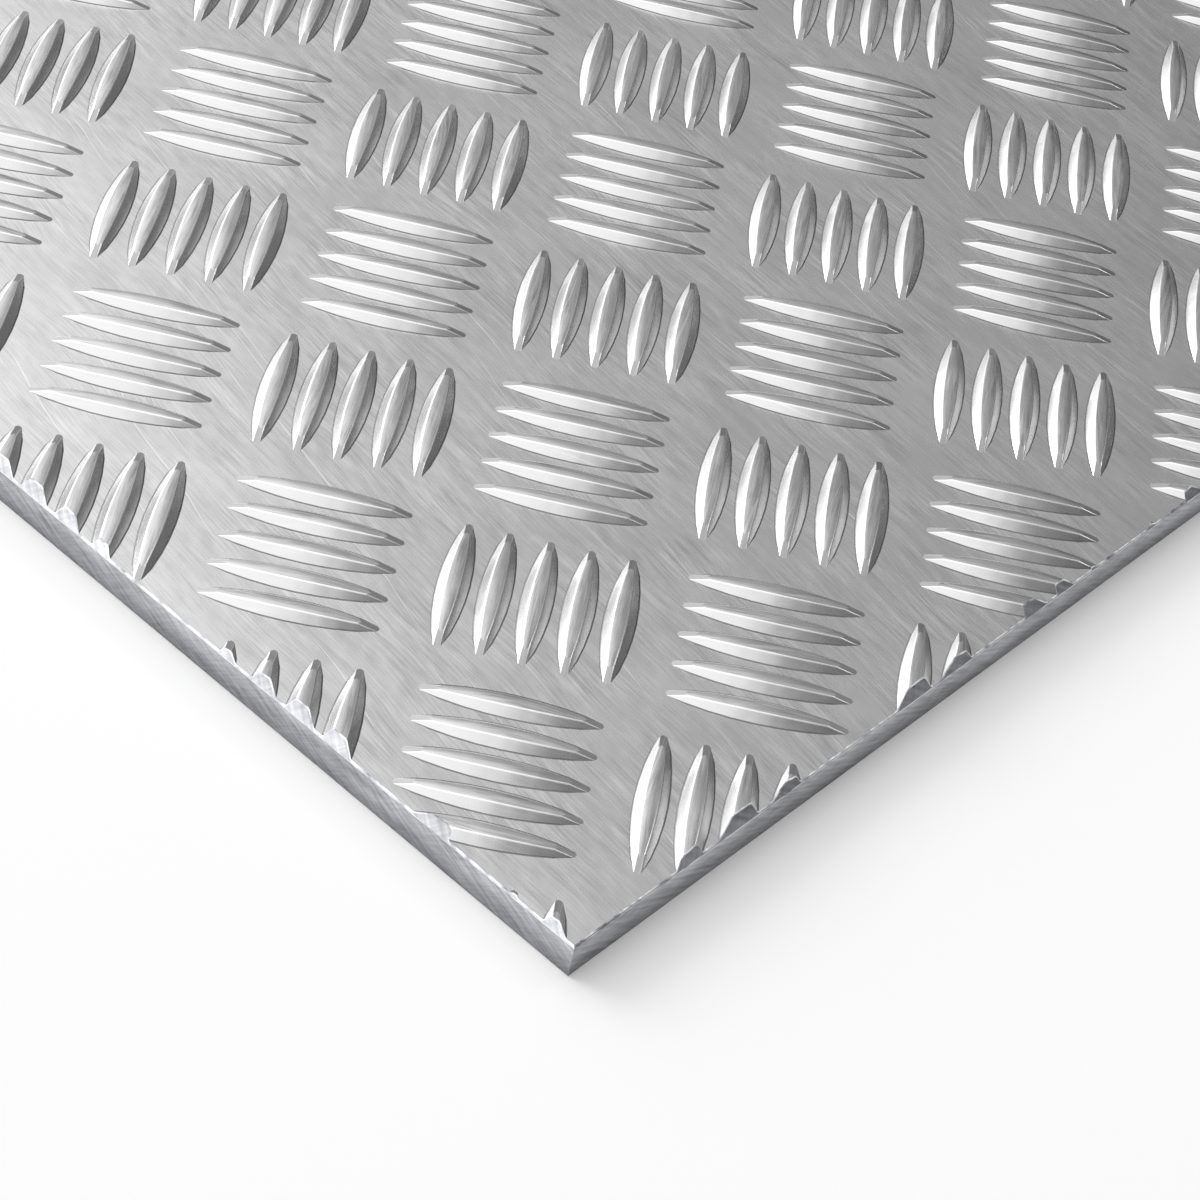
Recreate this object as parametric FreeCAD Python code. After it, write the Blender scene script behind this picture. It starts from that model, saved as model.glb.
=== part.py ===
"""Aluminium five-bar checker plate: one sheet, rolled with raised tread bars on its top face and cut square.

A bevel along the cut top edges takes off the burr, and it slants the ends of the bars that were cut through.

The frame is the sheet's own: origin at the middle of the underside, +Z up through the tread, X and Y along
the cut edges. All sizes are in millimetres and degrees. The sheet is one piece of metal, so it is one solid.
"""

import FreeCAD, Part
import math
import os

# The sheet.
sheet_x = 500.0
sheet_y = 500.0
base_thickness = 6.0  # the sheet between its bars, which is what its gauge names
edge_bevel = 0.3  # the 45 degree bevel along the top edges, as it shows between the bars

# One tread bar. Its two flanks are arcs in plan and lean in evenly.
# A sloping facet runs down from each end of its flat crown to a blunt tip.
bar_length = 26.6  # from tip to tip, at the sheet's surface
bar_width = 4.8  # the widest place, at the sheet's surface
bar_height = 1.3
flank_lean = 45.0  # from upright
tip_width = 1.2  # across each blunt tip, at the sheet's surface
tip_slope = 14.5  # the end facets' rise from the sheet

# The pattern: groups of five bars on a square lattice, each group turned a quarter turn from its neighbours.
bars_in_group = 5
bar_pitch = 6.15  # from bar to bar in a group
group_pitch = 34.0  # from group to group, along the bars and across them
pattern_angle = -55.66  # the lattice's own x direction, from the sheet's +X edge
first_group_x = 42.6  # one group's centre, from the sheet's -X edge
first_group_y = 47.9  # the same group's centre, from the sheet's -Y edge

# How the rolled sheet is made before it is cut.
mill_margin = bar_length  # it reaches this far past the cut sheet, so that every bar that is cut starts whole
bar_root = 0.5  # each bar's solid starts this far inside the sheet, so that the two fuse cleanly

NODE = "checker_plate"
UP = FreeCAD.Vector(0, 0, 1)


def flank_cone(side):
    """The space inside one long flank of a bar: a cone about an upright axis off to the other side."""
    bow = (bar_width - tip_width) / 2
    arc_radius = (bar_length**2 / 4 + bow**2) / (2 * bow)
    axis_offset = arc_radius - bar_width / 2
    lean = math.tan(math.radians(flank_lean))
    foot = FreeCAD.Vector(0, -side * axis_offset, -bar_root)
    foot_radius = arc_radius + bar_root * lean
    top_radius = arc_radius - bar_height * lean
    return Part.makeCone(foot_radius, top_radius, bar_root + bar_height, foot, UP)


def tip_prism():
    """The space under a bar's flat crown and its two end facets: its side outline, carried across the bar."""
    slope = math.tan(math.radians(tip_slope))
    half_foot = bar_length / 2 + bar_root / slope
    half_crown = bar_length / 2 - bar_height / slope
    outline = [
        FreeCAD.Vector(-half_foot, -bar_width, -bar_root),
        FreeCAD.Vector(half_foot, -bar_width, -bar_root),
        FreeCAD.Vector(half_crown, -bar_width, bar_height),
        FreeCAD.Vector(-half_crown, -bar_width, bar_height),
    ]
    side = Part.Face(Part.makePolygon(outline + outline[:1]))
    return side.extrude(FreeCAD.Vector(0, 2 * bar_width, 0))


def tread_bar():
    """One raised bar, lengthwise along X, with the sheet's surface at z = 0."""
    bowed = flank_cone(1).common(flank_cone(-1))
    return bowed.common(tip_prism()).Solids[0]


def bar_places():
    """Yields each bar's centre on the sheet and its lengthwise direction in degrees, edge bars included."""
    corner_x = -sheet_x / 2
    corner_y = -sheet_y / 2
    turn = math.radians(pattern_angle)
    reach_x = sheet_x / 2 + bar_length / 2
    reach_y = sheet_y / 2 + bar_length / 2
    cells = math.ceil(math.hypot(sheet_x, sheet_y) / group_pitch) + 1
    for i in range(-cells, cells + 1):
        for j in range(-cells, cells + 1):
            along_lattice_x = (i + j) % 2 == 1
            for n in range(bars_in_group):
                step = (n - (bars_in_group - 1) / 2) * bar_pitch
                u = i * group_pitch + (0 if along_lattice_x else step)
                v = j * group_pitch + (step if along_lattice_x else 0)
                x = corner_x + first_group_x + u * math.cos(turn) - v * math.sin(turn)
                y = corner_y + first_group_y + u * math.sin(turn) + v * math.cos(turn)
                if abs(x) < reach_x and abs(y) < reach_y:
                    yield x, y, pattern_angle + (0 if along_lattice_x else 90)


def rolled_sheet():
    """The sheet as it leaves the rolls, larger than the cut one, with every bar whole."""
    corner = FreeCAD.Vector(-sheet_x / 2 - mill_margin, -sheet_y / 2 - mill_margin, 0)
    blank = Part.makeBox(sheet_x + 2 * mill_margin, sheet_y + 2 * mill_margin, base_thickness, corner)
    bar = tread_bar()
    bars = []
    for x, y, direction in bar_places():
        place = FreeCAD.Placement(FreeCAD.Vector(x, y, base_thickness), FreeCAD.Rotation(UP, direction))
        bars.append(bar.transformed(place.toMatrix()))
    return blank.multiFuse(bars)


def cut_sheet():
    """The finished sheet: the rolled one cut to size, straight through the bars that lie across an edge."""
    corner = FreeCAD.Vector(-sheet_x / 2, -sheet_y / 2, 0)
    full_height = base_thickness + bar_height
    block = Part.makeBox(sheet_x, sheet_y, full_height, corner)
    top_edges = [edge for edge in block.Edges if edge.BoundBox.ZMin > full_height / 2]
    bevelled = block.makeChamfer(edge_bevel + bar_height, top_edges)
    return rolled_sheet().common(bevelled)


def main():
    os.makedirs("parts", exist_ok=True)
    sheet = cut_sheet()
    print(NODE, len(sheet.Solids), "solid,", len(sheet.Faces), "faces,", round(sheet.Volume / 1000, 1), "cm3")
    sheet.Solids[0].exportStep(f"parts/{NODE}.step")


main()
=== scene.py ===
# %% [markdown]
# # An aluminium checker plate
#
# Checker plate is rolled: one roll is smooth, the other is engraved with groups of five lens-shaped
# hollows, and the hot metal fills them. The sheet comes out with raised bars on its top face, is brushed,
# and is cut to size. It is one piece of metal, so it is one mesh here: tread, cut edges and underside.

# %% The frame
import math

import bmesh
import bpy
import numpy as np
from mathutils import Matrix, Vector
from mathutils.geometry import delaunay_2d_cdt


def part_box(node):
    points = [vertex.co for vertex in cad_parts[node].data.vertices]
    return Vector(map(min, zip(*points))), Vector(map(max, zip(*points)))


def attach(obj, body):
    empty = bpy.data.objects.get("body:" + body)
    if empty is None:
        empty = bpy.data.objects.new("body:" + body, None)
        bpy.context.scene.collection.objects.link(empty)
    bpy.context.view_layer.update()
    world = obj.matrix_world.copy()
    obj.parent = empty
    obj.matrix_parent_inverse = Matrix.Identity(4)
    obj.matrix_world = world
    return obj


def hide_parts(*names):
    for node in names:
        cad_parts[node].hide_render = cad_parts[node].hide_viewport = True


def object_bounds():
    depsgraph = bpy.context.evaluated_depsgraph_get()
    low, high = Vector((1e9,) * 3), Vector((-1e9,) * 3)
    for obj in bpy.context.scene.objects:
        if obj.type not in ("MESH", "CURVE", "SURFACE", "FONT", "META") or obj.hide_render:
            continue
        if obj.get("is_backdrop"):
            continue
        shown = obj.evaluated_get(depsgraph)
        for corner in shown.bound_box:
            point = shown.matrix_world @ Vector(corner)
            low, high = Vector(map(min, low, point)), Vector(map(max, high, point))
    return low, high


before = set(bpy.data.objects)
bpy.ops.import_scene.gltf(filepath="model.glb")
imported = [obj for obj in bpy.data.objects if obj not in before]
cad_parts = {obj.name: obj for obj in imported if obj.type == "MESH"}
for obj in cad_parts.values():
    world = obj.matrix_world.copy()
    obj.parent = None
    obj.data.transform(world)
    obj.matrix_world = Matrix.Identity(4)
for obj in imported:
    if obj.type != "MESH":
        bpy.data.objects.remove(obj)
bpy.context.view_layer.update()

_, sheet_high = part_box("checker_plate")
half_x = sheet_high.x
half_y = sheet_high.y
print("sheet:", [round(2000 * half_x), round(2000 * half_y)], "mm across")
print("sheet:", round(1000 * sheet_high.z, 2), "mm thick over its bars")

# %% [markdown]
# ## One tread bar
#
# A bar is a lens in plan, with a blunt tip at each end. Its two flanks lean in at 45 degrees to a crown
# that bows down a little towards the ends, and a small facet slopes from each end of the crown to the tip.
# A box with bevelled edges would miss the way the flanks curve, and a subdivided shape would lose the crisp
# ridges. So the bar is a grid of points: stations along it and rows across it, each worked out from the
# outline's arc.

# %% The bar's sizes
MM = 0.001
bar_height = 1.3 * MM
bar_length = 26.6 * MM
bar_width = 4.8 * MM
tip_width = 1.2 * MM
tip_run = 3.1 * MM  # a tip facet's length on the level
tip_rise = 0.8 * MM  # the crown's height where the tip facet meets it
chevron = 0.5 * MM  # how far the tip facet's middle pokes out from its corners
foot_fillet = 0.13 * MM
ridge_round = 0.16 * MM
crown_lean = 0.12  # how far the crown's borders tip outwards, as a slope

plate_top = sheet_high.z - bar_height
bow = (bar_width - tip_width) / 2
flank_radius = (bar_length**2 / 4 + bow**2) / (2 * bow)
crown_half = bar_length / 2 - tip_run
crown_drop = bar_height - tip_rise
print("bar: flank arc of radius", round(flank_radius / MM, 1), "mm")

# %% The bar as a grid of points
inner_stations = crown_half * np.array([-1.0, -2 / 3, -1 / 3, 0.0, 1 / 3, 2 / 3, 1.0])
tip_angles = np.radians([88.0, 79.0, 68.0, 56.0, 0.0, -56.0, -68.0, -79.0, -88.0])


def half_width(x):
    """Half the bar's width at the sheet: an arc of flank_radius, less how far its centre is off."""
    return np.sqrt(flank_radius**2 - x**2) - (flank_radius - bar_width / 2)


def crown_height(x):
    """A parabola from the full height in the middle to tip_rise at both ends of the crown."""
    return bar_height - crown_drop * (x / crown_half) ** 2


def section(x):
    """The nine points across a bar at station x: foot, flank and ridge, the middle, then the mirror image.

    The foot is where the 45 degree flank meets the sheet and the ridge is where it meets the crown. Each is
    rounded off by a strip that starts and ends a fillet's length to either side of it.
    """
    foot, ridge, zero = half_width(x), crown_height(x), np.zeros_like(x)
    slant = math.sqrt(0.5)
    across = [
        foot + foot_fillet,
        foot - foot_fillet * slant,
        foot - ridge + ridge_round * slant,
        foot - ridge - ridge_round,
    ]
    height = [zero, zero + foot_fillet * slant, ridge - ridge_round * slant, ridge]
    across = np.stack([*across, zero, *(-a for a in across[::-1])], axis=-1)
    height = np.stack([*height, ridge, *height[::-1]], axis=-1)
    along = np.broadcast_to(x[..., None], across.shape)
    return np.stack([along, across, height], axis=-1)


def tip_points(end):
    """The nine points round a blunt tip, on the sheet: an arc of half the tip's width, flank to flank."""
    radius = tip_width / 2
    centre = bar_length / 2 - radius
    along = end * (centre + radius * np.cos(tip_angles))
    return np.stack([along, radius * np.sin(tip_angles), 0 * along], axis=-1)


# %% Put the stations together
bar_points = np.concatenate([tip_points(-1)[None], section(inner_stations), tip_points(1)[None]])
chevron_drop = chevron * tip_rise / tip_run
bar_points[[1, -2], 4] += [[-chevron, 0, -chevron_drop], [chevron, 0, -chevron_drop]]
stations, rows = bar_points.shape[:2]
print("bar:", stations, "stations of", rows, "points")

# %% [markdown]
# ## Which way each face looks
#
# Metal shows its shape through reflections, so the direction that each face looks matters more than its
# outline. The flanks and the crown should stay crisp, and only the narrow strips between them should blend.
# Smooth shading would average all of them. Each corner of each face therefore gets its own normal from the
# same formulas, and the crown's normals lean out a little, as if it were slightly round across.

# %% The bar's normals


def unit(v):
    """Each vector divided by its length."""
    return v / np.linalg.norm(v, axis=-1, keepdims=True)


def flank_facing(x, side):
    """Out along the arc's radius and up in equal shares."""
    out = np.stack([x / flank_radius, side * np.sqrt(1 - (x / flank_radius) ** 2), 1 + 0 * x], axis=-1)
    return unit(out)


def crown_facing(x):
    """Square to the crown's parabola."""
    return unit(np.stack([2 * crown_drop * x / crown_half**2, 0 * x, 1 + 0 * x], axis=-1))


def segment_facing(first, last, end):
    """Normals of all rows at a segment's two stations. end is -1 or 1 on the tips and 0 on the crown."""
    x = np.array([first, last])
    up = np.broadcast_to([0.0, 0.0, 1.0], (2, 3))
    left, right = flank_facing(x, 1), flank_facing(x, -1)
    top = crown_facing(x)
    if end:
        top = np.broadcast_to(unit(np.array([end * tip_rise, 0.0, tip_run])), (2, 3))
    lean = np.array([0.0, 0.0 if end else crown_lean, 0.0])
    return np.stack([up, left, left, unit(top + lean), top, unit(top - lean), right, right, up], axis=1)


# %% The normals of a whole bar
station_x = np.concatenate([[-bar_length / 2], inner_stations, [bar_length / 2]])
ends = [-1] + [0] * (stations - 3) + [1]
segments = zip(station_x[:-1], station_x[1:], ends)
bar_facing = np.stack([segment_facing(first, last, end) for first, last, end in segments])
print("bar:", len(bar_facing), "segments with their own normals")

# %% [markdown]
# Each strip of faces also gets a number that says what it is, for the finishes to read later: 0 is the flat
# sheet, 0.5 a foot, 1 a flank, 1.5 a ridge, 2 the crown and 2.5 a tip facet. On the cut edges, 1.75 is a
# worn border, 3 a bevel and 4 the sawn face.

# %% The bar's faces
FLAT, FOOT, FLANK, RIDGE, BORDER, CROWN, TIP, BEVEL, SAWN = 0.0, 0.5, 1.0, 1.5, 1.75, 2.0, 2.5, 3.0, 4.0
first = np.arange(stations - 1)[:, None] * rows + np.arange(rows - 1)[None, :]
bar_quads = np.stack([first, first + rows, first + rows + 1, first + 1], axis=-1).reshape(-1, 4)[:, ::-1]
corner_facing = np.stack(
    [bar_facing[:, 0, :-1], bar_facing[:, 1, :-1], bar_facing[:, 1, 1:], bar_facing[:, 0, 1:]], axis=2
).reshape(-1, 4, 3)[:, ::-1]
bar_part = np.tile([FOOT, FLANK, RIDGE, CROWN, CROWN, RIDGE, FLANK, FOOT], (stations - 1, 1))
bar_part[[0, -1], 3:5] = TIP
bar_part = bar_part.reshape(-1)
outline = np.concatenate([
    np.arange(stations) * rows,
    (stations - 1) * rows + np.arange(1, rows),
    np.arange(stations - 2, -1, -1) * rows + rows - 1,
    np.arange(rows - 2, 0, -1),
])
print("bar:", len(bar_quads), "faces, outline of", len(outline), "points")

# %% [markdown]
# ## One group of five
#
# The pattern is a checkerboard of square cells. Each cell holds five bars side by side, and the flat sheet
# around them. The flat part has no formula of its own: a constrained Delaunay triangulation fills it in
# between the bar outlines and the cell's border, so that the cell's faces share all their points.

# %% The cell
group_pitch = 34.0 * MM
bar_pitch = 6.15 * MM
bars_in_group = 5
border_parts = 4  # equal parts of each side of the cell, so that a turned neighbour's points match

bar_offsets = (np.arange(bars_in_group) - (bars_in_group - 1) / 2) * bar_pitch
group = bar_points[None] + np.stack([0 * bar_offsets, bar_offsets, 0 * bar_offsets], axis=-1)[:, None, None]
group = group.reshape(bars_in_group, -1, 3)
points_in_bar = group.shape[1]

side = (np.arange(border_parts) / border_parts - 0.5) * group_pitch
edge = np.full(border_parts, group_pitch / 2)
border = np.concatenate([
    np.stack([side, -edge], -1),
    np.stack([edge, side], -1),
    np.stack([-side, edge], -1),
    np.stack([-edge, -side], -1),
])
border = np.concatenate([border, 0 * border[:, :1]], axis=1)
cell_points = np.concatenate([group.reshape(-1, 3), border])
print("cell:", len(cell_points), "points")

# %% The flat sheet between the bars


def fill_between_bars():
    """Triangles of the cell's flat part, as indices of cell_points."""
    loops = [outline + n * points_in_bar for n in range(bars_in_group)]
    loops.append(np.arange(len(cell_points) - len(border), len(cell_points)))
    used = np.concatenate(loops)
    owner = np.concatenate([np.full(len(loop), n) for n, loop in enumerate(loops)])
    edges, start = [], 0
    for loop in loops:
        ring = start + np.arange(len(loop))
        edges += np.stack([ring, np.roll(ring, -1)], -1).tolist()
        start += len(loop)
    flat = [Vector(p) for p in (cell_points[used, :2] / MM).tolist()]
    result = delaunay_2d_cdt(flat, edges, [], 0, 1e-5)
    source = np.array([ids[0] for ids in result[3]])
    triangles = source[np.array(result[2])]
    bars = owner[triangles]
    inside_a_bar = (bars == bars[:, :1]).all(axis=1) & (bars[:, 0] < bars_in_group)
    return used[triangles[~inside_a_bar]]


flat_triangles = fill_between_bars()
a, b, c = (cell_points[flat_triangles[:, k], :2] for k in range(3))
upside_down = np.cross(b - a, c - a) < 0
flat_triangles[upside_down] = flat_triangles[upside_down][:, ::-1]
print("cell:", len(flat_triangles), "flat triangles")

# %% [markdown]
# ## The rolled sheet
#
# Cells are laid out like a chessboard, every other one turned a quarter turn, and the points that
# neighbours have in common are merged. An array modifier would make the same layout, but it couldn't turn
# every other cell or carry the normals along. They are worked out for all cells at once.

# %% Lay out the cells
pattern_angle = math.radians(-55.66)
first_group = np.array([-half_x + 42.6 * MM, -half_y + 47.9 * MM])
brush_angle = math.radians(-98.0)
random = np.random.default_rng(7)

cells_out = math.ceil(math.hypot(half_x, half_y) * 2 / group_pitch) + 1
cosine, sine = math.cos(pattern_angle), math.sin(pattern_angle)
turn = np.array([[cosine, -sine], [sine, cosine]])
steps = np.arange(-cells_out, cells_out + 1)
i, j = (n.ravel() for n in np.meshgrid(steps, steps))
centres = first_group + np.stack([i, j], -1) * group_pitch @ turn.T
near = (np.abs(centres) < np.array([half_x, half_y]) + group_pitch).all(axis=1)
i, j = i[near], j[near]
upright = (i + j) % 2 == 0
print("rolled sheet:", len(i), "cells")


def quarter_turned(v):
    """Vectors of all cells, with those of upright cells turned a quarter turn: (x, y) becomes (-y, x)."""
    v = np.broadcast_to(v, (len(i), *v.shape)).copy()
    v[upright] = np.stack([-v[upright, ..., 1], v[upright, ..., 0], v[upright, ..., 2]], axis=-1)
    return v


# %% Join them into one surface
cell_quads = (bar_quads[None] + np.arange(bars_in_group)[:, None, None] * points_in_bar).reshape(-1, 4)
cell_facing = np.concatenate([
    np.tile(corner_facing, (bars_in_group, 1, 1)).reshape(-1, 3),
    np.broadcast_to([0.0, 0.0, 1.0], (3 * len(flat_triangles), 3)),
])
cell_corners = np.concatenate([cell_quads.ravel(), flat_triangles.ravel()])
cell_sizes = np.concatenate([np.full(len(cell_quads), 4), np.full(len(flat_triangles), 3)])

same_point = 1e-4 * MM  # points closer together than this are one point
lattice = quarter_turned(cell_points)
lattice[..., :2] += (np.stack([i, j], -1) * group_pitch)[:, None]
flat_lattice = lattice.reshape(-1, 3)
rounded = np.round(flat_lattice / same_point)
_, kept, merged = np.unique(rounded, axis=0, return_index=True, return_inverse=True)
points = flat_lattice[kept].copy()
corners = merged.ravel()[(cell_corners[None] + np.arange(len(i))[:, None] * len(cell_points)).ravel()]
sizes = np.tile(cell_sizes, len(i))
facing = quarter_turned(cell_facing).reshape(-1, 3)

points[:, :2] = points[:, :2] @ turn.T + first_group
points[:, 2] += plate_top
facing[:, :2] = facing[:, :2] @ turn.T
print("rolled sheet:", len(points), "points,", len(sizes), "faces")

# %% [markdown]
# The brushed finish needs to know which way its marks run, and that changes from place to place. So each
# corner also gets three numbers, kept as an attribute named grain: the distance along the marks, the
# distance across them, and the number of the part. On the flat sheet the marks run nearly along one cut
# edge. On the bars they run lengthwise, as the rolls left them, and each bar's are shifted by a random
# amount so that no two match.

# %% Brush coordinates
across_shift = 3.1  # across the marks, a bar's shift is this many times its shift along them
bar_corner_count = 4 * len(cell_quads)
seeds = random.random((len(i), bars_in_group))
own = cell_points[cell_corners[:bar_corner_count]]
own_seed = np.repeat(seeds, 4 * len(bar_quads), axis=1)
bar_grain = np.stack([
    np.broadcast_to(own[:, 0], own_seed.shape) + own_seed,
    np.broadcast_to(own[:, 1], own_seed.shape) + own_seed * across_shift,
    np.broadcast_to(np.repeat(np.tile(bar_part, bars_in_group), 4), own_seed.shape),
], axis=-1)
flat_count = len(cell_corners) - bar_corner_count
grain = np.concatenate([bar_grain, np.zeros((len(i), flat_count, 3))], axis=1)
flat_at = points[corners.reshape(len(i), -1)[:, bar_corner_count:]]
cosine, sine = math.cos(brush_angle), math.sin(brush_angle)
grain[:, bar_corner_count:, 0] = flat_at[..., 0] * cosine + flat_at[..., 1] * sine
grain[:, bar_corner_count:, 1] = flat_at[..., 1] * cosine - flat_at[..., 0] * sine
grain = grain.reshape(-1, 3)
print("brush coordinates:", len(grain), "corners")

# %% [markdown]
# ## Cutting the sheet to size
#
# The saw goes straight down, and a bevel along each top edge then takes off the burr. Where a bar lies
# across the edge, the same bevel slants its cut end. A Boolean modifier could cut the sheet, but it would
# lose the corner normals. Four slanted planes trim the rolled surface instead, and bisecting keeps every
# attribute. What they leave is a rim of points that runs up over each cut bar and down again.

# %% A mesh from arrays


def mesh_from(name, points, corners, sizes, facing, grain):
    """A mesh whose faces take sizes[n] corners each, with a normal and brush coordinates at each corner."""
    mesh = bpy.data.meshes.new(name)
    mesh.vertices.add(len(points))
    mesh.vertices.foreach_set("co", points.astype(np.float32).ravel())
    mesh.loops.add(len(corners))
    mesh.loops.foreach_set("vertex_index", corners.astype(np.int32))
    mesh.polygons.add(len(sizes))
    mesh.polygons.foreach_set("loop_start", (np.cumsum(sizes) - sizes).astype(np.int32))
    mesh.update(calc_edges=True)
    for key, values in (("facing", facing), ("grain", grain)):
        layer = mesh.attributes.new(key, "FLOAT_VECTOR", "CORNER")
        layer.data.foreach_set("vector", values.astype(np.float32).ravel())
    return mesh


def corner_values(mesh, key):
    """The three values that an attribute holds at each corner."""
    values = np.zeros(3 * len(mesh.loops), np.float32)
    mesh.attributes[key].data.foreach_get("vector", values)
    return values.reshape(-1, 3).astype(float)


# %% Trim along the bevels
edge_bevel = 0.3 * MM
outward = np.array([[1.0, 0.0], [0.0, 1.0], [-1.0, 0.0], [0.0, -1.0]])
along_edge = np.array([[0.0, 1.0], [-1.0, 0.0], [0.0, -1.0], [1.0, 0.0]])
reach = np.array([half_x, half_y, half_x, half_y])
bevel_foot = plate_top - edge_bevel
shortest_edge = 2e-3 * MM

rolled = mesh_from("rolled", points, corners, sizes, facing, grain)
bm = bmesh.new()
bm.from_mesh(rolled)
for out, distance in zip(outward, reach):
    everything = bm.verts[:] + bm.edges[:] + bm.faces[:]
    bmesh.ops.bisect_plane(
        bm, geom=everything, dist=same_point, clear_outer=True,
        plane_co=(*(out * distance), bevel_foot), plane_no=Vector((*out, 1.0)).normalized(),
    )
bmesh.ops.remove_doubles(bm, verts=bm.verts, dist=shortest_edge)
trimmed = bpy.data.meshes.new("trimmed")
bm.to_mesh(trimmed)
bm.free()
print("trimmed sheet:", len(trimmed.polygons), "faces")

# %% Back to arrays
top_points = np.zeros(3 * len(trimmed.vertices), np.float32)
trimmed.vertices.foreach_get("co", top_points)
top_points = top_points.reshape(-1, 3).astype(float)
top_corners = np.zeros(len(trimmed.loops), np.int32)
trimmed.loops.foreach_get("vertex_index", top_corners)
top_sizes = np.zeros(len(trimmed.polygons), np.int32)
trimmed.polygons.foreach_get("loop_total", top_sizes)
top_facing, top_grain = corner_values(trimmed, "facing"), corner_values(trimmed, "grain")
print("trimmed sheet:", len(top_points), "points,", len(top_corners), "corners")

# %% [markdown]
# ## The cut edges
#
# From the rim a bevel goes down to a straight line just under the top face, then the sawn face drops to a
# much smaller bevel at the floor. Handling wears a narrow border along both sides of the top bevel: a lip
# at the rim that looks up rather than out, and a thin strip of nicks at its lower side. Each is a strip
# between two lines of points, so all of them share the rim's points, and the underside closes the sheet.

# %% Ways to find the rim


def open_edges(corners, sizes):
    """For each face edge that no neighbouring face shares, the face corners where it starts and ends."""
    following = np.arange(1, len(corners) + 1)
    ends = np.cumsum(sizes)
    following[ends - 1] = ends - sizes
    start, end = corners.astype(np.int64), corners[following].astype(np.int64)
    big = start.max() + 1
    alone = np.flatnonzero(~np.isin(start * big + end, end * big + start))
    return alone, following[alone]


def walk(start, end, first):
    """Puts the edges of a closed ring in order, beginning with the one that leaves the point first."""
    leaves = {point: n for n, point in enumerate(start.tolist())}
    order = [leaves[first]]
    while end[order[-1]] != first:
        order.append(leaves[int(end[order[-1]])])
    return np.array(order)


# %% The rim in order, one side of the sheet after another
edge_from, edge_to = open_edges(top_corners, top_sizes)
sheet_corners = np.array([[1, -1], [1, 1], [-1, 1], [-1, -1]]) * np.array([half_x, half_y])
rim_starts = top_corners[edge_from]
off_corner = np.linalg.norm(top_points[rim_starts, None, :2] - sheet_corners[None], axis=-1)
corner_points = rim_starts[off_corner.argmin(axis=0)]
order = walk(rim_starts, top_corners[edge_to], corner_points[0])
edge_from, edge_to = edge_from[order], edge_to[order]
ordered = top_corners[edge_from]
side_starts = [int(np.flatnonzero(ordered == point)[0]) for point in corner_points] + [len(order)]
print("rim:", len(order), "edges")

# %% Ways to add points and faces
all_points = top_points
parts = {"corners": [top_corners], "sizes": [top_sizes], "facing": [top_facing]}
parts["grain"], parts["slot"] = [top_grain], [np.zeros(len(top_sizes), int)]


def add_points(points):
    """Adds points to the whole mesh and returns their indices."""
    global all_points
    all_points = np.concatenate([all_points, points])
    return np.arange(len(all_points) - len(points), len(all_points))


def add_faces(faces, facing, along, part, slot):
    """Adds faces of any size, all of one part. facing is one direction for all, or one for each corner."""
    flat = np.concatenate([np.asarray(f) for f in faces])
    at = all_points[flat]
    parts["corners"].append(flat)
    parts["sizes"].append(np.array([len(f) for f in faces]))
    parts["facing"].append(unit(np.broadcast_to(np.asarray(facing, float).reshape(-1, 3), (len(flat), 3))))
    parts["grain"].append(np.column_stack([at[:, :2] @ along, at[:, 2], np.full(len(flat), part)]))
    parts["slot"].append(np.full(len(faces), slot))


def corner_ring(inset, height):
    """Four points at one height, inset from the sheet's corners."""
    return add_points(np.column_stack([sheet_corners - np.sign(sheet_corners) * inset, np.full(4, height)]))


# %% Where the strips meet at the sheet's corners
under_bevel = 0.12 * MM
lip = 0.17 * MM  # the worn border at the rim, measured outwards
lip_lean = 0.25  # how far the lip's outer side tips outwards, as a slope
nick = 0.05 * MM  # half the worn border at the bevel's lower side
out_and_down = np.column_stack([np.sign(sheet_corners), -np.ones(4)])
worn_corner = add_points(top_points[corner_points] + lip * out_and_down)
foot_corner = corner_ring(nick, bevel_foot + nick)
face_corner = corner_ring(0.0, bevel_foot - nick)
low_corner = corner_ring(0.0, under_bevel)
under_corner = corner_ring(under_bevel, 0.0)
print("cut edges: bevel from", round(plate_top / MM, 2), "down to", round(bevel_foot / MM, 2), "mm")

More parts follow.
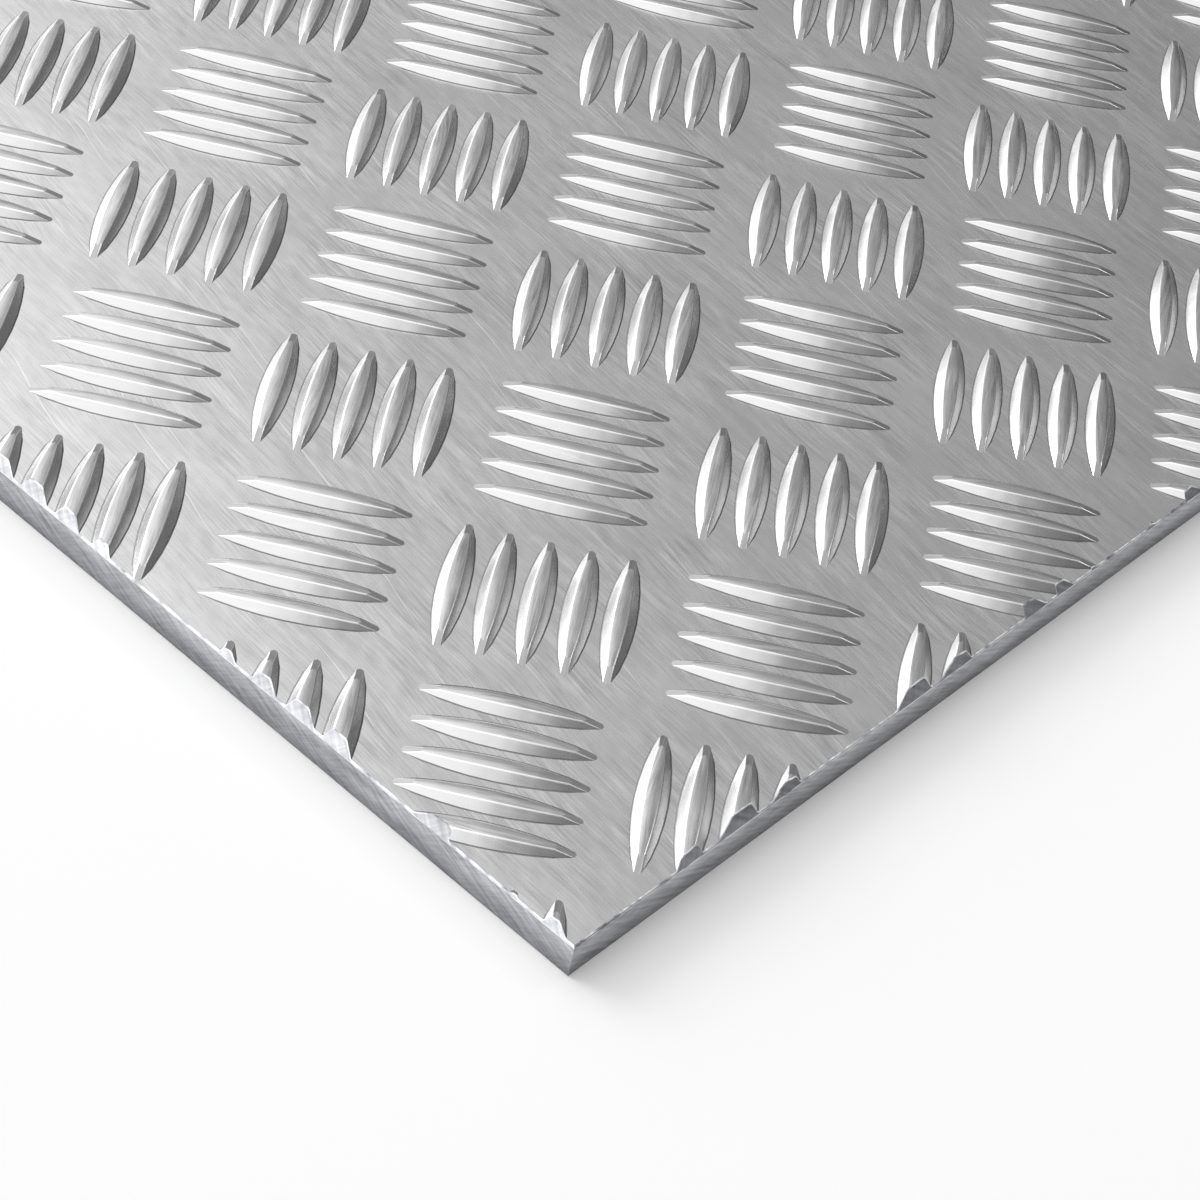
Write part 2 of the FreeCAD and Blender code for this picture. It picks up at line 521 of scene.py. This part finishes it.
# %% Bevels, sawn faces and underside
for n in range(4):
    out, along, both = outward[n], along_edge[n], [n, (n + 1) % 4]
    leave, arrive = edge_from[side_starts[n]:side_starts[n + 1]], edge_to[side_starts[n]:side_starts[n + 1]]
    rim = np.append(top_corners[leave], top_corners[arrive[-1]])
    inner = top_points[rim[1:-1]]
    worn_line = inner + lip * np.array([*out, -1.0])
    worn = np.array([worn_corner[both[0]], *add_points(worn_line), worn_corner[both[1]]])
    s = inner[:, :2] @ along
    foot_line = out * (reach[n] - nick) + s[:, None] * along
    foot_line = np.column_stack([foot_line, np.full(len(s), bevel_foot + nick)])
    foot = np.array([foot_corner[both[0]], *add_points(foot_line), foot_corner[both[1]]])
    face, low, under = face_corner[both], low_corner[both], under_corner[both]
    slant, level = np.array([*out, 1.0]), np.array([*out, 0.0])
    outer, upward = np.array([*(out * lip_lean), 1.0]), np.array([0.0, 0.0, 1.0])
    worn_facing = np.tile([outer, outer, upward, upward], (len(leave), 1))
    add_faces(list(np.stack([worn[:-1], worn[1:], rim[1:], rim[:-1]], -1)), worn_facing, along, BORDER, 1)
    add_faces(list(np.stack([foot[:-1], foot[1:], worn[1:], worn[:-1]], -1)), slant, along, BEVEL, 1)
    turned_facing = np.array([level, level] + [slant] * len(foot))
    add_faces([np.concatenate([face, foot[::-1]])], turned_facing, along, BORDER, 1)
    add_faces([np.concatenate([low, face[::-1]])], level, along, SAWN, 1)
    add_faces([np.concatenate([under, low[::-1]])], (*out, -1.0), along, BEVEL, 1)

add_faces([under_corner[::-1]], (0.0, 0.0, -1.0), np.array([0.0, 1.0]), FLAT, 0)
print("cut edges:", len(all_points) - len(top_points), "more points")

# %% [markdown]
# ## The finished mesh
#
# The arrays become one mesh, in place at the origin, with the corner normals set last, because checking a
# mesh can drop them. The piece rides on the root body and stands in for the plain sheet of the frame.

# %% The finished mesh
whole = {key: np.concatenate(values) for key, values in parts.items()}
arrays = [whole[key] for key in ("corners", "sizes", "facing", "grain")]
plate_mesh = mesh_from("tread_plate", all_points, *arrays)
plate_mesh.polygons.foreach_set("material_index", whole["slot"].astype(np.int32))
plate_mesh.polygons.foreach_set("use_smooth", np.ones(len(whole["sizes"]), bool))
print("mended:", plate_mesh.validate())
plate_mesh.normals_split_custom_set(corner_values(plate_mesh, "facing").tolist())
plate_mesh.attributes.remove(plate_mesh.attributes["facing"])
triangles = int((whole["sizes"] - 2).sum())
print("plate:", len(plate_mesh.vertices), "points,", len(plate_mesh.polygons), "faces")
print("plate:", triangles, "triangles")
print("open edges:", len(open_edges(whole["corners"], whole["sizes"])[0]))

plate = bpy.data.objects.new("tread_plate", plate_mesh)
bpy.context.scene.collection.objects.link(plate)
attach(plate, "root")
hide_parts("checker_plate")

# %% [markdown]
# ## The finishes
#
# Both finishes are bare aluminium, so they are fully metallic, and what tells their surfaces apart is how
# rough they are and which way their marks run. One noise, stretched along the brush coordinates, gives the
# brushed lines. The third brush coordinate names the part of the sheet, so flanks can be smoother, ridges
# bright from wear, and the feet of the bars dark with painted shade.

# %% Short ways to add nodes


def new_material(name):
    """A material that uses nodes, and its node tree."""
    material = bpy.data.materials.new(name)
    material.use_nodes = True
    return material, material.node_tree


def add_node(tree, kind, *inputs, **settings):
    """Adds a node, sets its properties, and fills its inputs in order with sockets or plain values."""
    node = tree.nodes.new("ShaderNode" + kind)
    for key, value in settings.items():
        setattr(node, key, value)
    for socket, value in zip(node.inputs, inputs):
        if isinstance(value, bpy.types.NodeSocket):
            tree.links.new(value, socket)
        elif value is not None:
            socket.default_value = value
    return node


def calc(tree, operation, *inputs):
    """One step of arithmetic."""
    return add_node(tree, "Math", *inputs, operation=operation).outputs[0]


# %% Ways to make marks and to give each part its own value


def streaks(tree, coordinates, stretch, detail, offset=(0.0, 0.0, 0.0)):
    """Noise from 0 to 1 on coordinates multiplied by stretch, features per metre along each axis."""
    scaled = add_node(tree, "VectorMath", coordinates, stretch, offset, operation="MULTIPLY_ADD").outputs[0]
    return add_node(tree, "TexNoise", scaled, None, 1.0, detail, 0.55).outputs[0]


def turned(tree, coordinates, degrees):
    """Coordinates turned about their third axis."""
    angle = math.radians(degrees)
    return add_node(tree, "VectorRotate", coordinates, (0.0, 0.0, 0.0), (0.0, 0.0, 1.0), angle).outputs[0]


def remap(tree, value, low, high, to_low, to_high, curve="LINEAR"):
    """The value, with the range from low to high moved to the range from to_low to to_high."""
    node = add_node(tree, "MapRange", value, low, high, to_low, to_high, interpolation_type=curve)
    return node.outputs[0]


below_number = 0.2  # each step starts this far below its part's number


def by_part(tree, part, values):
    """A value for each part of the sheet: (part number, value) pairs, a step between each and the next."""
    values = list(values)
    ramp = add_node(tree, "ValToRGB", remap(tree, part, FLAT, SAWN, 0.0, 1.0))
    ramp.color_ramp.interpolation = "CONSTANT"
    stops = ramp.color_ramp.elements
    while len(stops) < len(values):
        stops.new(1.0)
    for stop, (number, value) in zip(stops, values):
        stop.position = max(0.0, (number - below_number) / SAWN)
        stop.color = (value, value, value, 1.0)
    return ramp.outputs[0]


# %% [markdown]
# The tread's marks are made of a fine and a broad noise, both stretched lengthwise, and their line wanders
# a little, as a hand-guided brush does. They change the tone, the roughness and, through Bump, the tilt of
# the metal. Patches say where the brushing is strong. A few long scratches cross it, and a slow swell under
# it all keeps the reflections from lying dead straight.

# %% Rolled aluminium: where the marks are
rolled_finish, tree = new_material("rolled_aluminium")
shader = tree.nodes["Principled BSDF"]
grain_at = add_node(tree, "Attribute", attribute_name="grain").outputs["Vector"]
part = add_node(tree, "SeparateXYZ", grain_at).outputs[2]
object_at = add_node(tree, "TexCoord").outputs["Object"]

wander = streaks(tree, object_at, (28.0, 28.0, 0.0), 1.0, (2.0, 5.0, 0.0))
sideways = add_node(tree, "CombineXYZ", None, calc(tree, "MULTIPLY", wander, 5.0 * MM)).outputs[0]
grain_at = add_node(tree, "VectorMath", grain_at, sideways).outputs[0]
fine = streaks(tree, grain_at, (150.0, 2300.0, 0.0), 3.0)
broad = streaks(tree, grain_at, (45.0, 520.0, 0.0), 2.0, (3.1, 7.7, 0.0))
cloudy = streaks(tree, object_at, (55.0, 55.0, 0.0), 3.0)
scratch = streaks(tree, turned(tree, grain_at, 7), (18.0, 1500.0, 0.0), 1.0, (11.0, 0.0, 0.0))
scratch = remap(tree, scratch, 0.69, 0.74, 0.0, 1.0)
patches = streaks(tree, object_at, (90.0, 90.0, 0.0), 1.0, (4.0, 9.0, 0.0))
patches = remap(tree, patches, 0.35, 0.65, 0.35, 1.5)

parts_seen = (FLAT, FOOT, FLANK, RIDGE, CROWN, TIP)
mark_depth = by_part(tree, part, zip(parts_seen, (1.0, 0.5, 0.4, 0.1, 1.8, 0.6)))
marks = calc(tree, "ADD", calc(tree, "MULTIPLY", fine, 0.6), calc(tree, "MULTIPLY", broad, 0.4))
centred = calc(tree, "MULTIPLY", calc(tree, "SUBTRACT", marks, 0.5), mark_depth)
centred = calc(tree, "MULTIPLY", centred, patches)
clouds = calc(tree, "SUBTRACT", cloudy, 0.5)
print("rolled finish:", len(tree.nodes), "nodes for the marks")

# %% Rolled aluminium: tone, roughness and bump
# The feet of the bars get a very low tone: painted shade along the line where each bar meets the sheet.
tone = by_part(tree, part, zip(parts_seen, (0.70, 0.24, 0.86, 0.95, 0.62, 0.46)))
tone = calc(tree, "MULTIPLY_ADD", centred, 0.55, tone)
tone = calc(tree, "MULTIPLY_ADD", clouds, 0.10, tone)
tone = calc(tree, "MULTIPLY_ADD", scratch, 0.10, tone)
tint = add_node(tree, "CombineColor", tone, tone, calc(tree, "MULTIPLY", tone, 1.008)).outputs[0]

rough = by_part(tree, part, zip(parts_seen, (0.27, 0.4, 0.27, 0.30, 0.27, 0.35)))
rough = calc(tree, "MULTIPLY_ADD", centred, 0.20, rough)
rough = calc(tree, "MULTIPLY_ADD", clouds, 0.10, rough)

height = calc(tree, "SUBTRACT", marks, calc(tree, "MULTIPLY", scratch, 0.4))
height = calc(tree, "MULTIPLY", height, mark_depth)
bump = add_node(tree, "Bump", 1.0, 0.014 * MM, 0.1, height)
swell = add_node(tree, "Bump", 1.0, 0.25 * MM, 0.1, cloudy)
tree.links.new(swell.outputs[0], bump.inputs["Normal"])

tree.links.new(tint, shader.inputs["Base Color"])
tree.links.new(rough, shader.inputs["Roughness"])
tree.links.new(bump.outputs[0], shader.inputs["Normal"])
shader.inputs["Metallic"].default_value = 1.0
plate_mesh.materials.append(rolled_finish)
print("rolled finish:", len(tree.nodes), "nodes")

# %% [markdown]
# The cut faces are duller and a little blue. A saw leaves coarse streaks that lean over, finer ones cross
# them, and handling smears them lengthwise. The faces darken towards the floor, which is painted shade from
# the floor's shadow that they mirror. The worn borders of the bevel are dented all along, and the noise that
# tilts them from side to side also lightens their tone in places, which is a painted highlight.

# %% Sawn aluminium: where the marks are
sawn_finish, tree = new_material("sawn_aluminium")
shader = tree.nodes["Principled BSDF"]
grain_at = add_node(tree, "Attribute", attribute_name="grain").outputs["Vector"]
part = add_node(tree, "SeparateXYZ", grain_at).outputs[2]
saw = streaks(tree, turned(tree, grain_at, 28), (130.0, 1700.0, 0.0), 3.0)
crossing = streaks(tree, turned(tree, grain_at, -38), (160.0, 2400.0, 0.0), 2.0, (9.0, 4.0, 0.0))
smear = streaks(tree, grain_at, (60.0, 420.0, 0.0), 3.0, (5.0, 2.0, 0.0))
nicks_and_glint = streaks(tree, grain_at, (420.0, 60.0, 0.0), 1.0)
# Where the borders get bright spots: real nicks, lit up by a painted highlight.
worn = remap(tree, nicks_and_glint, 0.35, 0.55, 0.0, 1.0, "SMOOTHSTEP")

marks = calc(tree, "ADD", calc(tree, "MULTIPLY", saw, 0.45), calc(tree, "MULTIPLY", smear, 0.35))
marks = calc(tree, "MULTIPLY_ADD", crossing, 0.2, marks)
centred = calc(tree, "SUBTRACT", marks, 0.5)
border = by_part(tree, part, [(FLAT, 0.0), (BORDER, 1.0), (BEVEL, 0.0)])
above_floor = add_node(tree, "SeparateXYZ", grain_at).outputs[1]
print("sawn finish:", len(tree.nodes), "nodes for the marks")

# %% Sawn aluminium: tone, roughness and bump
parts_seen = (FLAT, BORDER, BEVEL, SAWN)
tone = by_part(tree, part, zip(parts_seen, (0.5, 0.45, 0.58, 0.48)))
tone = calc(tree, "MULTIPLY_ADD", centred, 1.5, tone)
# Darker towards the floor: painted shade, standing in for the floor's shadow mirrored in these faces.
tone = calc(tree, "MULTIPLY", tone, remap(tree, above_floor, 0.0, 5.0 * MM, 0.5, 1.05))
# The worn borders' tone lifts where the noise is high: a painted highlight, on the same noise that dents
# them.
tone = calc(tree, "MULTIPLY_ADD", calc(tree, "MULTIPLY", border, worn), 0.6, tone)
green, blue = calc(tree, "MULTIPLY", tone, 1.01), calc(tree, "MULTIPLY", tone, 1.06)
tint = add_node(tree, "CombineColor", tone, green, blue).outputs[0]

rough = by_part(tree, part, zip(parts_seen, (0.4, 0.35, 0.5, 0.45)))
rough = calc(tree, "MULTIPLY_ADD", centred, 0.35, rough)
dents = calc(tree, "MULTIPLY", calc(tree, "MULTIPLY", border, nicks_and_glint), 25.0)
bump = add_node(tree, "Bump", 1.0, 0.02 * MM, 0.1, calc(tree, "ADD", marks, dents))

tree.links.new(tint, shader.inputs["Base Color"])
tree.links.new(rough, shader.inputs["Roughness"])
tree.links.new(bump.outputs[0], shader.inputs["Normal"])
shader.inputs["Metallic"].default_value = 1.0
plate_mesh.materials.append(sawn_finish)
print("sawn finish:", len(tree.nodes), "nodes")

# %% [markdown]
# ## Floor, light and camera
#
# The sheet lies on a white floor that keeps its shadow. The floor is a large square just under the sheet. A
# little light of its own, which only the camera and the metal's reflections see, lifts it to white without
# lighting the sheet.

# %% Floor
floor_reach = 12.0
floor_sag = 0.02 * MM  # just enough for the sheet's underside not to touch it
floor_lift = 0.14
floor_mesh = bpy.data.meshes.new("floor")
floor_corners = floor_reach * np.array([[-1, -1, 0], [1, -1, 0], [1, 1, 0], [-1, 1, 0]]) - [0, 0, floor_sag]
floor_mesh.from_pydata(floor_corners.tolist(), [], [(0, 1, 2, 3)])
floor = bpy.data.objects.new("floor", floor_mesh)
bpy.context.scene.collection.objects.link(floor)
floor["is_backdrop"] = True

floor_finish, tree = new_material("white_floor")
tree.nodes.remove(tree.nodes["Principled BSDF"])
paint = add_node(tree, "BsdfDiffuse", (0.9, 0.9, 0.9, 1.0)).outputs[0]
rays = add_node(tree, "LightPath").outputs
seen = calc(tree, "MAXIMUM", rays["Is Camera Ray"], rays["Is Glossy Ray"])
seen = calc(tree, "MAXIMUM", seen, rays["Is Transmission Ray"])
lift = add_node(tree, "Emission", (1.0, 1.0, 1.0, 1.0), calc(tree, "MULTIPLY", seen, floor_lift)).outputs[0]
painted = add_node(tree, "AddShader", paint, lift).outputs[0]
tree.links.new(painted, tree.nodes["Material Output"].inputs["Surface"])
floor_mesh.materials.append(floor_finish)
print("floor:", 2 * floor_reach, "m wide")

# %% [markdown]
# Bare metal is lit by what it mirrors. A room with one bright wall and a dim rest shows every slope: a
# flank that faces the wall is bright, and one that faces away is dark. A plain grey world would leave the
# bars flat. Each direction's brightness comes from how far it points towards the wall, and from which half
# of the room it is in, both of which are dot products.

# %% World: a bright wall on one side of the room, and a dim rest
world = bpy.data.worlds.new("studio")
bpy.context.scene.world = world
world.use_nodes = True
tree = world.node_tree
look = add_node(tree, "TexCoord").outputs["Generated"]


def pointing(direction):
    """How far the looked-at direction points along a given one: their dot product."""
    return add_node(tree, "VectorMath", look, direction, operation="DOT_PRODUCT").outputs["Value"]


towards_wall = pointing((-0.65, 0.76, 0.625))
far_half = pointing((0.826, 0.564, 0.0))
dim = remap(tree, towards_wall, 0.0, 0.12, 0.13, 0.45)
dim = calc(tree, "MULTIPLY", dim, remap(tree, far_half, -0.3, 0.3, 0.4, 1.0))
wall = remap(tree, towards_wall, 0.37, 0.57, 0.0, 1.0, "SMOOTHSTEP")
brightness = calc(tree, "MULTIPLY_ADD", wall, 0.92, dim)
tree.links.new(brightness, tree.nodes["Background"].inputs["Strength"])
tree.nodes["Background"].inputs["Color"].default_value = (1.0, 1.0, 1.0, 1.0)
print("world:", len(tree.nodes), "nodes")

# %% [markdown]
# Two lamps add what a wall can't. A large softbox beyond the +y edge leaves a soft shadow along the -y edge,
# and a small one on the opposite side puts a fine glint on ridges that face away from the wall.

# %% Lamps


def softbox(name, place, size_x, size_y, power):
    """A rectangular lamp at place, facing the middle of the sheet."""
    lamp = bpy.data.lights.new(name, "AREA")
    lamp.shape = "RECTANGLE"
    lamp.size, lamp.size_y, lamp.energy = size_x, size_y, power
    lamp_object = bpy.data.objects.new(name, lamp)
    lamp_object.location = place
    lamp_object.rotation_euler = (-Vector(place)).to_track_quat("-Z", "Y").to_euler()
    bpy.context.scene.collection.objects.link(lamp_object)
    print(name, "lamp:", power, "W")


softbox("key", (-0.5, 1.4, 0.85), 1.2, 0.8, 14)
softbox("glint", (0.93, -0.48, 1.21), 0.3, 0.3, 1.5)

# %% [markdown]
# A long lens looks down on the sheet from 43 cm off its nearest corner, so the pattern's lines stay nearly
# parallel. Its place is given from that corner, in lengths of one group of bars, and its direction by three
# angles.

# %% Camera
sensor = 36.0
focal_ratio = 2.75225  # the focal length as a share of the sensor's width
camera = bpy.data.cameras.new("camera")
camera.sensor_width = sensor
camera.lens = focal_ratio * sensor
camera_object = bpy.data.objects.new("camera", camera)
corner = Vector((-half_x, -half_y, plate_top))
camera_object.location = corner + Vector((-6.9313, -4.5854, 9.6658)) * group_pitch
yaw, pitch, roll = (math.radians(a) for a in (55.25, 43.35, 12.07))
forward = Vector((math.sin(yaw) * math.cos(pitch), math.cos(yaw) * math.cos(pitch), -math.sin(pitch)))
level = Vector((math.cos(yaw), -math.sin(yaw), 0))
upward = level.cross(forward)
right = math.cos(roll) * level + math.sin(roll) * upward
up = math.cos(roll) * upward - math.sin(roll) * level
camera_object.rotation_mode = "QUATERNION"
camera_object.rotation_quaternion = Matrix((right, up, -forward)).transposed().to_quaternion()
camera.clip_start, camera.clip_end = 0.01, 20
bpy.context.scene.collection.objects.link(camera_object)
bpy.context.scene.camera = camera_object
bpy.context.scene.view_settings.view_transform = "Standard"
print("camera:", round(camera.lens, 1), "mm lens")

# %% [markdown]
# The sheet must still fill the box that the frame gave it, so both boxes are printed.

# %% Sizes
low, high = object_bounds()
print("box:", [round(v / MM, 2) for v in (*low, *high)], "mm")
